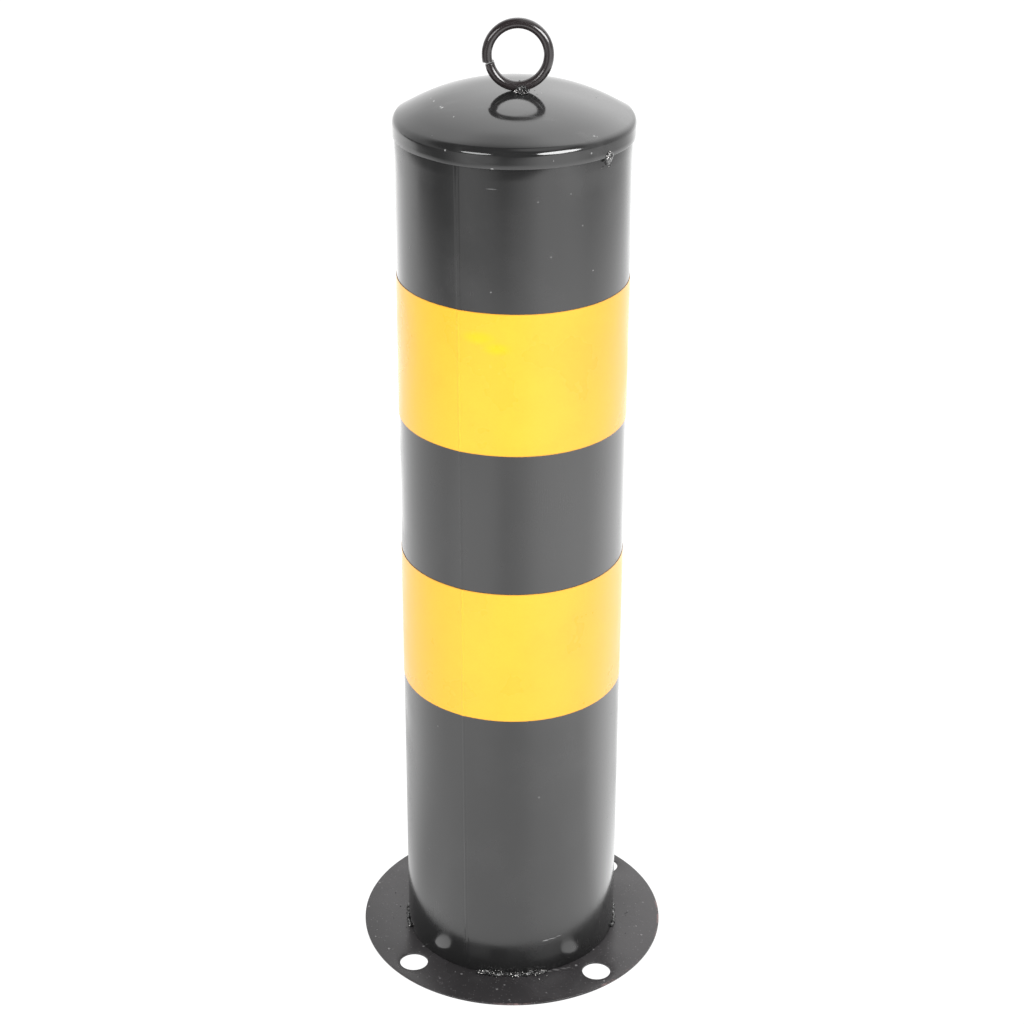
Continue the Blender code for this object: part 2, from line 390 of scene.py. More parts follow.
def add_modifier(piece, kind, **settings):
    make_active(piece)
    modifier = piece.modifiers.new(kind.lower(), kind)
    for key, value in settings.items():
        setattr(modifier, key, value)
    bpy.ops.object.modifier_apply(modifier=modifier.name)


def smooth(piece, degrees=35.0):
    make_active(piece)
    bpy.ops.object.shade_smooth_by_angle(angle=math.radians(degrees))


def place(piece, matrix):
    piece.data.transform(matrix)
    piece.data.update()


def join(pieces, name):
    deselect()
    for piece in pieces:
        piece.select_set(True)
    bpy.context.view_layer.objects.active = pieces[0]
    bpy.ops.object.join()
    return named(name)


def finish_piece(piece, material, node):
    """Gives a piece its finish and puts it in the place of its CAD node."""
    piece.data.materials.clear()
    piece.data.materials.append(material)
    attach(piece, "root")
    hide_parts(node)


def at_post(azimuth, across, up):
    """A point at an azimuth, a distance from the post's axis and a height."""
    return Vector((across * math.cos(azimuth), across * math.sin(azimuth), up))


def angle_between(azimuth, other):
    """The smaller angle between two azimuths."""
    return abs((azimuth - other + math.pi) % (2.0 * math.pi) - math.pi)


def edge_azimuth(edge):
    middle = (edge.verts[0].co + edge.verts[1].co) / 2.0
    return math.atan2(middle.y, middle.x)


# ---------------------------------------------------------------- shader parts

def add_node(tree, kind, **settings):
    new = tree.nodes.new(kind)
    for key, value in settings.items():
        setattr(new, key, value)
    return new


def put(tree, value, socket):
    """Gives a socket a plain value, or links it to another node's output."""
    if isinstance(value, bpy.types.NodeSocket):
        tree.links.new(value, socket)
    else:
        socket.default_value = value


def math_node(tree, operation, first, second=None):
    new = add_node(tree, "ShaderNodeMath", operation=operation)
    put(tree, first, new.inputs[0])
    if second is not None:
        put(tree, second, new.inputs[1])
    return new.outputs[0]


def times(tree, first, second):
    return math_node(tree, "MULTIPLY", first, second)


def plus(tree, first, second):
    return math_node(tree, "ADD", first, second)


def vector_node(tree, operation, first, second=None):
    new = add_node(tree, "ShaderNodeVectorMath", operation=operation)
    put(tree, first, new.inputs[0])
    if second is not None:
        put(tree, second, new.inputs[1])
    return new.outputs["Value" if operation in ("DOT_PRODUCT", "LENGTH") else "Vector"]


def own_place(tree):
    """Where a point lies on its own piece."""
    return add_node(tree, "ShaderNodeTexCoord").outputs["Object"]


def ramp(tree, value, low, high, first=0.0, last=1.0):
    """A smooth step from first to last while a value goes from low to high."""
    new = add_node(tree, "ShaderNodeMapRange", interpolation_type="SMOOTHSTEP")
    for label, given in (("Value", value), ("From Min", low), ("From Max", high),
                         ("To Min", first), ("To Max", last)):
        put(tree, given, new.inputs[label])
    return new.outputs["Result"]


def fall(tree, value, low, high):
    """A smooth step from 1 to 0 between two values."""
    return ramp(tree, value, low, high, 1.0, 0.0)


def mix_colour(tree, factor, first, second):
    new = add_node(tree, "ShaderNodeMix", data_type="RGBA")
    put(tree, factor, new.inputs["Factor"])
    for label, colour in (("A", first), ("B", second)):
        put(tree, (*colour, 1.0) if isinstance(colour, tuple) else colour, new.inputs[label])
    return new.outputs["Result"]


def start_group(name, inputs, outputs):
    tree = bpy.data.node_groups.new(name, "ShaderNodeTree")
    for label, kind, value in inputs:
        socket = tree.interface.new_socket(label, in_out="INPUT", socket_type=kind)
        socket.default_value = value
    for label, kind in outputs:
        tree.interface.new_socket(label, in_out="OUTPUT", socket_type=kind)
    return tree, add_node(tree, "NodeGroupInput"), add_node(tree, "NodeGroupOutput")


def noise_at(tree, scale, detail=2.0, roughness=0.5, stretch=None):
    """Noise on the piece's own coordinates, with an even or a stretched grain."""
    where = own_place(tree)
    if stretch is not None:
        mapping = add_node(tree, "ShaderNodeMapping")
        put(tree, stretch, mapping.inputs["Scale"])
        put(tree, where, mapping.inputs["Vector"])
        where = mapping.outputs["Vector"]
    new = add_node(tree, "ShaderNodeTexNoise")
    for label, given in (("Vector", where), ("Scale", scale), ("Detail", detail),
                         ("Roughness", roughness)):
        put(tree, given, new.inputs[label])
    return new.outputs["Fac"]


def make_orange_peel():
    """The gentle ripple that sprayed paint dries with, as a height from 0 to 1."""
    tree, inlet, outlet = start_group(
        "orange_peel",
        [("Scale", "NodeSocketFloat", 700.0), ("Coarse Share", "NodeSocketFloat", 0.3)],
        [("Height", "NodeSocketFloat")])
    fine = noise_at(tree, inlet.outputs["Scale"], 2.0)
    coarse = noise_at(tree, times(tree, inlet.outputs["Scale"], 0.16), 1.0)
    share = inlet.outputs["Coarse Share"]
    fine_part = times(tree, fine, math_node(tree, "SUBTRACT", 1.0, share))
    put(tree, plus(tree, fine_part, times(tree, coarse, share)), outlet.inputs["Height"])
    return tree


def make_specks():
    """Scattered round specks: dust caught in the paint, or chips, as a mask from 0 to 1."""
    tree, inlet, outlet = start_group(
        "specks",
        [("Scale", "NodeSocketFloat", 200.0), ("Share", "NodeSocketFloat", 0.1),
         ("Size", "NodeSocketFloat", 0.14)],
        [("Mask", "NodeSocketFloat")])
    cells = add_node(tree, "ShaderNodeTexVoronoi")
    put(tree, own_place(tree), cells.inputs["Vector"])
    put(tree, inlet.outputs["Scale"], cells.inputs["Scale"])
    pick = add_node(tree, "ShaderNodeSeparateColor")
    put(tree, cells.outputs["Color"], pick.inputs[0])
    chosen = math_node(tree, "LESS_THAN", pick.outputs[0], inlet.outputs["Share"])
    size = times(tree, inlet.outputs["Size"], plus(tree, pick.outputs[1], 0.35))
    near = math_node(tree, "DIVIDE", cells.outputs["Distance"], size)
    put(tree, times(tree, chosen, fall(tree, near, 0.6, 1.0)), outlet.inputs["Mask"])
    return tree


def make_cloudiness():
    """Broad soft patches, for handling marks and uneven gloss, as a mask from 0 to 1."""
    tree, inlet, outlet = start_group(
        "cloudiness",
        [("Scale", "NodeSocketFloat", 22.0), ("Low", "NodeSocketFloat", 0.45),
         ("High", "NodeSocketFloat", 0.75)],
        [("Mask", "NodeSocketFloat")])
    broad = noise_at(tree, inlet.outputs["Scale"], 4.0, 0.55)
    mask = ramp(tree, broad, inlet.outputs["Low"], inlet.outputs["High"])
    put(tree, mask, outlet.inputs["Mask"])
    return tree


def make_hairlines():
    """Fine rubbed lines along one direction, as a mask from 0 to 1."""
    tree, inlet, outlet = start_group(
        "hairlines",
        [("Scale", "NodeSocketFloat", 60.0), ("Share", "NodeSocketFloat", 0.3)],
        [("Mask", "NodeSocketFloat")])
    lines = noise_at(tree, inlet.outputs["Scale"], 3.0, 0.6, stretch=(8.0, 8.0, 0.5))
    from_middle = math_node(tree, "ABSOLUTE", math_node(tree, "SUBTRACT", lines, 0.5))
    patches = ramp(tree, noise_at(tree, 35.0, 2.0), 0.56, 0.68)
    mask = times(tree, fall(tree, from_middle, 0.004, 0.012), patches)
    put(tree, times(tree, mask, inlet.outputs["Share"]), outlet.inputs["Mask"])
    return tree


ORANGE_PEEL = make_orange_peel()
SPECKS = make_specks()
CLOUDINESS = make_cloudiness()
HAIRLINES = make_hairlines()


def use_group(tree, group, **values):
    new = add_node(tree, "ShaderNodeGroup", node_tree=group)
    for label, value in values.items():
        put(tree, value, new.inputs[label.replace("_", " ")])
    return new.outputs[0]


def new_material(name, roughness, specular=0.5):
    material = bpy.data.materials.new(name)
    material.use_nodes = True
    tree = material.node_tree
    shader = tree.nodes["Principled BSDF"]
    shader.inputs["Roughness"].default_value = roughness
    shader.inputs["Specular IOR Level"].default_value = specular
    return material, tree, shader


def add_bumps(tree, shader, layers):
    """Stacks bumps of (height, depth in metres) and feeds the last into the shader."""
    below = None
    for height, depth in layers:
        bump = add_node(tree, "ShaderNodeBump")
        bump.inputs["Strength"].default_value = 1.0
        bump.inputs["Distance"].default_value = depth
        put(tree, height, bump.inputs["Height"])
        if below is not None:
            put(tree, below, bump.inputs["Normal"])
        below = bump.outputs["Normal"]
    put(tree, below, shader.inputs["Normal"])


def spot(tree, centre, half_sizes):
    """A soft oval mark round a point on a piece, as a mask from 0 to 1."""
    away = vector_node(tree, "SUBTRACT", own_place(tree), centre)
    size = vector_node(tree, "LENGTH", vector_node(tree, "DIVIDE", away, half_sizes))
    return fall(tree, size, SPOT_CORE, 1.0)


def placed(marks):
    """Marks as (centre, half sizes, strength), from their azimuths, distances and heights."""
    return [(at_post(math.radians(azimuth), across, height), half_sizes, strength)
            for azimuth, across, height, half_sizes, strength in marks]


def all_spots(tree, marks):
    """One mask of several soft oval marks, each (centre, half sizes, strength)."""
    total = None
    for centre, half_sizes, strength in marks:
        mark = times(tree, spot(tree, centre, half_sizes), strength)
        total = mark if total is None else math_node(tree, "MAXIMUM", total, mark)
    return total


def make_black_paint(name, colour, roughness, peel=700.0, peel_depth=0.00001, dust=0.05,
                     dust_scale=170.0, dull=0.12, flecks=(), smudges=(), wiped=0.0):
    """Sprayed gloss black: orange peel, dust nibs, uneven gloss, rubbed lines and its own marks."""
    material, tree, shader = new_material(name, roughness)
    nibs = use_group(tree, SPECKS, Scale=dust_scale, Share=dust, Size=0.12)
    cloud = use_group(tree, CLOUDINESS, Scale=26.0)
    rubbed = use_group(tree, HAIRLINES, Scale=70.0, Share=0.6)
    pale = tuple(channel * 4.0 + 0.03 for channel in colour)
    tinted = tuple(channel * 1.35 for channel in colour)
    base = mix_colour(tree, cloud, colour, tinted)
    base = mix_colour(tree, times(tree, nibs, 0.8), base, pale)
    if flecks:
        base = mix_colour(tree, all_spots(tree, flecks), base, FLECK_GREY)
    duller = times(tree, cloud, dull)
    if wiped:
        smears = ramp(tree, noise_at(tree, 1.0, 3.0, 0.6, stretch=WIPED_GRAIN), 0.47, 0.72)
        base = mix_colour(tree, times(tree, smears, wiped), base, pale)
        duller = plus(tree, duller, times(tree, smears, wiped * 0.3))
    if smudges:
        duller = plus(tree, duller, all_spots(tree, smudges))
    duller = plus(tree, duller, times(tree, nibs, 0.25))
    duller = plus(tree, duller, times(tree, rubbed, 0.15))
    put(tree, base, shader.inputs["Base Color"])
    put(tree, plus(tree, duller, roughness), shader.inputs["Roughness"])
    peel_height = use_group(tree, ORANGE_PEEL, Scale=peel)
    add_bumps(tree, shader, [(peel_height, peel_depth), (nibs, NIB_HEIGHT), (rubbed, -RUB_DEPTH)])
    return material


def make_flange_paint():
    """Gloss black on plate: coarser grain, spatter nibs, and paint worn thin along the rims."""
    material, tree, shader = new_material("flange_black_paint", FLANGE_ROUGHNESS,
                                          FLANGE_SPECULAR)
    flat = vector_node(tree, "MULTIPLY", own_place(tree), (1.0, 1.0, 0.0))
    rim = ramp(tree, vector_node(tree, "LENGTH", flat),
               FLANGE_RADIUS - RIM_WEAR_FROM, FLANGE_RADIUS - RIM_WEAR_FULL)
    worn = times(tree, rim, ramp(tree, noise_at(tree, 140.0, 5.0, 0.6), 0.42, 0.62))
    worn = times(tree, worn, ramp(tree, noise_at(tree, 22.0, 1.0), 0.46, 0.6))
    worn = times(tree, worn, 0.6)
    nibs = use_group(tree, SPECKS, Scale=260.0, Share=0.3, Size=0.17)
    fine = use_group(tree, SPECKS, Scale=800.0, Share=0.28, Size=0.34)
    cloud = use_group(tree, CLOUDINESS, Scale=18.0, Low=0.35, High=0.7)
    base = mix_colour(tree, cloud, FLANGE_BLACK, FLANGE_BLACK_PATCH)
    base = mix_colour(tree, times(tree, nibs, 0.7), base, FLANGE_NIB)
    base = mix_colour(tree, times(tree, fine, 0.4), base, FLANGE_DUST)
    base = mix_colour(tree, worn, base, WORN_RIM)
    # Paints the light line along the tube's foot: a painted highlight.
    base = mix_colour(tree, all_spots(tree, placed(FLANGE_FOOT_GLINT)), base, FLANGE_GLINT_GREY)
    put(tree, base, shader.inputs["Base Color"])
    duller = times(tree, cloud, 0.16)
    duller = plus(tree, duller, times(tree, nibs, 0.2))
    duller = plus(tree, duller, times(tree, worn, 0.25))
    put(tree, plus(tree, duller, FLANGE_ROUGHNESS), shader.inputs["Roughness"])
    peel = use_group(tree, ORANGE_PEEL, Scale=520.0, Coarse_Share=0.45)
    add_bumps(tree, shader, [(peel, FLANGE_PEEL_DEPTH), (nibs, FLANGE_NIB_HEIGHT),
                             (fine, FLANGE_DUST_HEIGHT)])
    return material


def make_weld_paint(name, share):
    """Gloss black flooded over rough weld metal, with a share of near-white specks painted on as
    glints and raised a little as bumps.
    """
    material, tree, shader = new_material(name, WELD_ROUGHNESS)
    # Painted glints: near-white specks that stand in for highlights on the rough metal.
    painted_glints = use_group(tree, SPECKS, Scale=1300.0, Share=share, Size=0.42)
    cloud = use_group(tree, CLOUDINESS, Scale=300.0)
    base = mix_colour(tree, cloud, WELD_BLACK, WELD_BLACK_PATCH)
    base = mix_colour(tree, painted_glints, base, WELD_GLINT_WHITE)
    put(tree, base, shader.inputs["Base Color"])
    put(tree, plus(tree, times(tree, painted_glints, 0.15), WELD_ROUGHNESS),
        shader.inputs["Roughness"])
    grain = noise_at(tree, 1500.0, 4.0, 0.6)
    add_bumps(tree, shader, [(grain, WELD_GRAIN_DEPTH), (painted_glints, WELD_GLINT_HEIGHT)])
    return material


def make_tape(name, node, tilt, smears=()):
    """Yellow retroreflective film: fine glass beads under a smooth clear face, and dark edges that
    are partly the film's cut edge and partly painted shade.
    """
    low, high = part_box(node)
    half = (high.z - low.z) / 2.0
    material, tree, shader = new_material(name, TAPE_ROUGHNESS, TAPE_SPECULAR)
    along = vector_node(tree, "DOT_PRODUCT", own_place(tree), (tilt, 0.0, 1.0))
    from_middle = math_node(tree, "SUBTRACT", along, (low.z + high.z) / 2.0)
    cut_edge_and_shade = ramp(tree, math_node(tree, "ABSOLUTE", from_middle), half - TAPE_CUT_AND_SHADE_WIDTH, half)
    beads = add_node(tree, "ShaderNodeTexVoronoi")
    put(tree, own_place(tree), beads.inputs["Vector"])
    put(tree, TAPE_BEAD_GRAIN, beads.inputs["Scale"])
    bead_dots = ramp(tree, beads.outputs["Distance"], 0.1, 0.6)
    cloud = use_group(tree, CLOUDINESS, Scale=30.0, Low=0.35, High=0.7)
    base = mix_colour(tree, cloud, TAPE_YELLOW, TAPE_YELLOW_PATCH)
    base = mix_colour(tree, times(tree, bead_dots, 0.35), base, TAPE_BEAD)
    for centre, half_sizes, strength in smears:
        mark = times(tree, spot(tree, centre, half_sizes), strength)
        base = mix_colour(tree, mark, base, TAPE_SMEAR)
    # Darkens the band's edges: partly the cut film, partly painted shade.
    base = mix_colour(tree, times(tree, cut_edge_and_shade, 0.6), base, TAPE_CUT_AND_SHADE)
    put(tree, base, shader.inputs["Base Color"])
    put(tree, plus(tree, times(tree, cloud, 0.08), TAPE_ROUGHNESS), shader.inputs["Roughness"])
    ripple = noise_at(tree, 60.0, 2.0)
    add_bumps(tree, shader, [(ripple, TAPE_RIPPLE_DEPTH), (bead_dots, TAPE_BEAD_HEIGHT)])
    return material


# ---------------------------------------------------------------- the tube and its tape

def seam_lean(height):
    """How far round the long seam has wandered at a height, going down the tube."""
    return SEAM_LEAN * (tube_high.z - height) / (tube_high.z - tube_low.z)


def seam_rise(azimuth, softness=1.0):
    """How far the rolled wall stands out near its long seam: a low peak with a fine bead on it."""
    away = angle_between(azimuth, SEAM_AT) * TUBE_RADIUS
    peak = SEAM_PEAK * softness * math.exp(-away / SEAM_PEAK_REACH)
    bead = SEAM_BEAD * math.exp(-(away / (SEAM_BEAD_REACH * softness)) ** 2) / softness
    groove = SEAM_GROOVE * math.exp(-((away - SEAM_GROOVE_AWAY) / SEAM_GROOVE_REACH) ** 2) / softness
    return peak + bead - groove


def refine_near_seam(piece):
    """Adds points to a loop where it crosses the seam."""
    loop = edit(piece)
    bpy.ops.mesh.select_mode(type="EDGE")
    bpy.ops.mesh.select_all(action="DESELECT")
    for edge in loop.edges:
        edge.select_set(angle_between(edge_azimuth(edge), SEAM_AT) < SEAM_FINE_SPAN)
    bmesh.update_edit_mesh(piece.data)
    bpy.ops.mesh.subdivide(number_cuts=7)
    leave_edit()


def roll_wall(tube):
    """Sets every point of the upright wall to the rolled tube's true outline."""
    for vertex in tube.data.vertices:
        azimuth = math.atan2(vertex.co.y, vertex.co.x)
        swell = TUBE_DENTS * noise.noise(vertex.co * DENT_GRAIN)
        out = TUBE_RADIUS - WALL_INSET + seam_rise(azimuth) + swell
        azimuth += seam_lean(vertex.co.z)
        vertex.co.x = out * math.cos(azimuth)
        vertex.co.y = out * math.sin(azimuth)
    tube.data.update()


def even_heights(low, high, count):
    """Heights from low to high in a number of even steps."""
    return [low + (high - low) * step / count for step in range(count + 1)]


def make_tube(material):
    tube = add_loop("tube_body", TUBE_RADIUS, tube_low.z, TUBE_SIDES)
    refine_near_seam(tube)
    raise_walls(tube, even_heights(tube_low.z, tube_high.z, TUBE_COURSES))
    roll_wall(tube)
    add_modifier(tube, "SOLIDIFY", thickness=TUBE_WALL, offset=-1.0)
    add_modifier(tube, "BEVEL", width=TUBE_EASE, segments=2, limit_method="ANGLE",
                 angle_limit=math.radians(60.0))
    smooth(tube)
    finish_piece(tube, material, "post_tube")


def open_loop_at(piece, azimuth):
    """Cuts a closed loop open at an azimuth."""
    loop = edit(piece)
    bpy.ops.mesh.select_mode(type="EDGE")
    bpy.ops.mesh.select_all(action="DESELECT")
    nearest = min(loop.edges, key=lambda edge: angle_between(edge_azimuth(edge), azimuth))
    nearest.select_set(True)
    bmesh.update_edit_mesh(piece.data)
    bpy.ops.mesh.delete(type="EDGE")
    leave_edit()


def extend_lap(piece, radius):
    """Carries the tape's free end on round the post, over its own start."""
    loop = edit(piece)
    ends = [v for v in loop.verts if len(v.link_edges) == 1]
    # The end that runs on is the one just before the opening, going anticlockwise from above.
    ends.sort(key=lambda v: (math.atan2(v.co.y, v.co.x) - LAP_AT + math.pi) % (2.0 * math.pi))
    last = ends[0]
    bpy.ops.mesh.select_mode(type="VERT")
    bpy.ops.mesh.select_all(action="DESELECT")
    last.select_set(True)
    here = last.co.copy()
    bmesh.update_edit_mesh(piece.data)
    begin = math.atan2(here.y, here.x)
    for step in range(1, LAP_STEPS + 1):
        there = at_post(begin + LAP_LENGTH * step / LAP_STEPS, radius, here.z)
        bpy.ops.mesh.extrude_vertices_move(TRANSFORM_OT_translate={"value": there - here})
        here = there
    leave_edit()


def make_band(node, name, material, seed, tilt):
    """A band of film stuck round the tube, with its lap, small wrinkles and wandering edges."""
    low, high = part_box(node)
    band = add_loop(name, TUBE_RADIUS, low.z, TUBE_SIDES)
    refine_near_seam(band)
    open_loop_at(band, LAP_AT)
    extend_lap(band, TUBE_RADIUS + TAPE_FILM)
    raise_walls(band, even_heights(low.z, high.z, TAPE_COURSES))
    middle = (low.z + high.z) / 2.0
    for vertex in band.data.vertices:
        azimuth = math.atan2(vertex.co.y, vertex.co.x)
        lapped = math.hypot(vertex.co.x, vertex.co.y) > TUBE_RADIUS + 0.6 * TAPE_FILM
        lift = TAPE_GLUE + seam_rise(azimuth, TAPE_OVER_SEAM)
        lift += (TAPE_FILM + LAP_GLUE) if lapped else 0.0
        wrinkle = TAPE_WRINKLE * noise.noise(Vector((azimuth * 3.0, vertex.co.z * 30.0, seed)))
        out = TUBE_RADIUS - WALL_INSET + lift + wrinkle
        edge_share = abs(vertex.co.z - middle) / (high.z - middle)
        around = Vector((math.cos(azimuth), math.sin(azimuth), seed + 5.0))
        wander = TAPE_EDGE_WANDER * noise.noise(around)
        azimuth += seam_lean(vertex.co.z)
        vertex.co.z += wander * edge_share ** 6 - tilt * out * math.cos(azimuth)
        vertex.co.x = out * math.cos(azimuth)
        vertex.co.y = out * math.sin(azimuth)
    band.data.update()
    add_modifier(band, "SOLIDIFY", thickness=TAPE_FILM, offset=1.0)
    smooth(band, 50.0)
    finish_piece(band, material, node)


# ---------------------------------------------------------------- the cap

def cap_profile():
    """(radius, height) down the outside of the cap, from near its apex to the skirt's edge."""
    dome_centre = cap_high.z - DOME_RADIUS
    meet = math.atan2(CAP_BEND_ACROSS, CAP_BEND_HEIGHT - dome_centre)
    points = []
    for ring in range(1, CAP_DOME_RINGS + 1):
        across = DOME_RADIUS * math.sin(meet * ring / CAP_DOME_RINGS)
        points.append((across, cap_height(across)))
    for ring in range(1, CAP_BEND_RINGS + 1):
        turn = meet + (math.pi / 2.0 - meet) * ring / CAP_BEND_RINGS
        points.append((CAP_BEND_ACROSS + CAP_BEND_RADIUS * math.sin(turn),
                       CAP_BEND_HEIGHT + CAP_BEND_RADIUS * math.cos(turn)))
    for below_bend in SKIRT_RINGS:
        points.append((CAP_RADIUS, CAP_BEND_HEIGHT - below_bend))
    points.append((CAP_RADIUS, cap_low.z))
    return points


def cap_height(across):
    """Height of the dome's outside at a distance from its axis: pressed flatter at the crown."""
    drop = DOME_RADIUS - math.sqrt(DOME_RADIUS ** 2 - across ** 2)
    share = min(1.0, across / DOME_EDGE)
    return cap_high.z - drop * (1.0 - CROWN_FLATNESS * (1.0 - share ** 2))


def make_cap(material):
    """The skirt's loop drawn up ring by ring to the apex, then given its wall and small dents."""
    profile = cap_profile()[::-1]
    cap = add_loop("domed_cap", profile[0][0], profile[0][1], CAP_SIDES)
    edit(cap)
    bpy.ops.mesh.select_all(action="SELECT")
    for (radius, height), (next_radius, next_height) in zip(profile, profile[1:]):
        extrude_up(next_height - height)
        share = next_radius / radius
        bpy.ops.transform.resize(value=(share, share, 1.0), center_override=(0.0, 0.0, 0.0))
    extrude_up(cap_high.z - profile[-1][1])
    bpy.ops.mesh.merge(type="CENTER")
    bpy.ops.mesh.select_all(action="SELECT")
    bpy.ops.mesh.normals_make_consistent(inside=False)
    leave_edit()
    for vertex in cap.data.vertices:
        down = max(0.0, CAP_BEND_HEIGHT - vertex.co.z) / (CAP_BEND_HEIGHT - cap_low.z)
        azimuth = math.atan2(vertex.co.y, vertex.co.x)
        around = Vector((2.0 * math.cos(azimuth), 2.0 * math.sin(azimuth), 0.0))
        vertex.co.z += SKIRT_WAVE * down * noise.noise(around * 1.7)
        across = math.hypot(vertex.co.x, vertex.co.y)
        if across < CAP_RADIUS - 0.003:
            vertex.co.z += DOME_DENTS * noise.noise(vertex.co * DOME_DENT_GRAIN)
    cap.data.update()
    add_modifier(cap, "SOLIDIFY", thickness=CAP_SHEET, offset=-1.0)
    add_modifier(cap, "BEVEL", width=CAP_EASE, segments=3, limit_method="ANGLE",
                 angle_limit=math.radians(60.0))
    place(cap, Matrix.Translation(CAP_SHIFT))
    smooth(cap, 40.0)
    finish_piece(cap, material, "dome_cap")


# ---------------------------------------------------------------- the ring

def ring_matrix():
    return Matrix.Translation(RING_CENTRE) @ Matrix.Rotation(RING_TURN, 4, "Z")


def make_ring(material):
    """A length of wire turned round from one cut end to the other, whose ends miss a little."""
    deselect()
    start = RING_GAP_AT + RING_GAP / 2.0
    bpy.ops.mesh.primitive_circle_add(vertices=28, radius=WIRE_RADIUS, fill_type="NGON",
                                      location=(RING_HALF_HEIGHT, 0.0, 0.0))
    bpy.ops.object.transform_apply(location=True, rotation=True, scale=True)
    ring = named("wire_ring")
    edit(ring)
    bpy.ops.mesh.select_all(action="SELECT")
    bpy.ops.mesh.spin(steps=144, angle=-(2.0 * math.pi - RING_GAP), center=(0.0, 0.0, 0.0),
                      axis=(0.0, 1.0, 0.0), use_auto_merge=False)
    bpy.ops.mesh.select_all(action="SELECT")
    bpy.ops.mesh.normals_make_consistent(inside=False)
    leave_edit()
    place(ring, Matrix.Rotation(-start, 4, "Y"))
    add_modifier(ring, "BEVEL", width=WIRE_EASE, segments=3, limit_method="ANGLE",
                 angle_limit=math.radians(50.0))
    squeeze = RING_HALF_WIDTH / RING_HALF_HEIGHT
    for vertex in ring.data.vertices:
        around = math.atan2(vertex.co.z, vertex.co.x) % (2.0 * math.pi)
        past_gap = around - RING_GAP_AT
        pull = math.exp(-past_gap / RING_END_REACH) if past_gap > 0.0 else 0.0
        inward = 1.0 - RING_END_IN * pull / RING_HALF_HEIGHT
        vertex.co.x *= squeeze * inward
        vertex.co.z *= inward
        vertex.co.y += RING_END_BACK * pull
    ring.data.update()
    place(ring, ring_matrix())
    smooth(ring, 45.0)
    finish_piece(ring, material, "lifting_ring")


# ---------------------------------------------------------------- weld beads

def make_ball(name, fineness):
    deselect()
    bpy.ops.mesh.primitive_ico_sphere_add(subdivisions=fineness, radius=1.0,
                                          location=(0.0, 0.0, 0.0))
    return named(name)


def copy_ball(ball, matrix):
    """A copy of the ball with a mesh of its own, drawn to shape and placed."""
    twin = ball.copy()
    twin.data = ball.data.copy()
    bpy.context.scene.collection.objects.link(twin)
    place(twin, matrix)
    return twin


def lump_matrix(centre, half_sizes, turn):
    stretch = Matrix.Diagonal((*half_sizes, 1.0))
    return Matrix.Translation(centre) @ Matrix.Rotation(turn, 4, "Z") @ stretch


def ripple_texture():
    texture = bpy.data.textures.new("weld_ripple", "CLOUDS")
    texture.noise_scale = 0.0011
    texture.noise_depth = 2
    return texture


def melt_together(pieces, name, voxel, depth):
    """Runs lumps into one body and roughens its skin."""
    bead = join(pieces, name)
    add_modifier(bead, "REMESH", mode="VOXEL", voxel_size=voxel)
    add_modifier(bead, "SMOOTH", factor=0.5, iterations=2)
    add_modifier(bead, "DISPLACE", texture=RIPPLE, strength=depth, mid_level=0.5,
                 texture_coords="LOCAL")
    return bead


def add_spatter(bead, places):
    """Adds small beads of thrown metal, each (place, radius), to a finished bead."""
    drops = [copy_ball(SMALL_BALL, lump_matrix(at, (size, size, size * 0.8), 0.0))
             for at, size in places]
    return join([bead, *drops], bead.name)


def make_flange_weld(node, name, start, end, material, seed, girth, drops):
    """A stitch of overlapping lumps in the corner between the tube and the flange."""
    draw = random.Random(seed)
    lumps = []
    azimuth = math.radians(start)
    while azimuth < math.radians(end):
        size = draw.uniform(*LUMP_SIZES) * girth
        centre = at_post(azimuth, TUBE_RADIUS + draw.uniform(*LUMP_OUT) * girth,
                         FLANGE_TOP + draw.uniform(*LUMP_UP) * girth)
        half_sizes = (size * draw.uniform(0.8, 1.1), size * draw.uniform(0.9, 1.3),
                      size * draw.uniform(0.7, 1.05))
        lumps.append(copy_ball(BALL, lump_matrix(centre, half_sizes, azimuth)))
        azimuth += draw.uniform(*LUMP_STEPS) / TUBE_RADIUS
    bead = melt_together(lumps, name, voxel=0.00022, depth=0.0008)
    places = []
    for _ in range(drops):
        around = math.radians(draw.uniform(start - FLANGE_DROPS_PAST_ENDS,
                                           end + FLANGE_DROPS_PAST_ENDS))
        out = TUBE_RADIUS + FLANGE_DROPS_FROM + abs(draw.gauss(0.0, FLANGE_DROPS_SPREAD))
        where = at_post(around, out, FLANGE_TOP + DROP_RISE)
        places.append((where, draw.uniform(*FLANGE_DROPS)))
    for _ in range(drops // 3):
        around = math.radians(draw.uniform(start - TUBE_DROPS_PAST_ENDS,
                                           end + TUBE_DROPS_PAST_ENDS))
        up = FLANGE_TOP + TUBE_DROPS_FROM + abs(draw.gauss(0.0, TUBE_DROPS_SPREAD))
        where = at_post(around, TUBE_RADIUS + DROP_RISE, up)
        places.append((where, draw.uniform(*TUBE_DROPS)))
    bead = add_spatter(bead, places)
    smooth(bead, 180.0)
    finish_piece(bead, material, node)


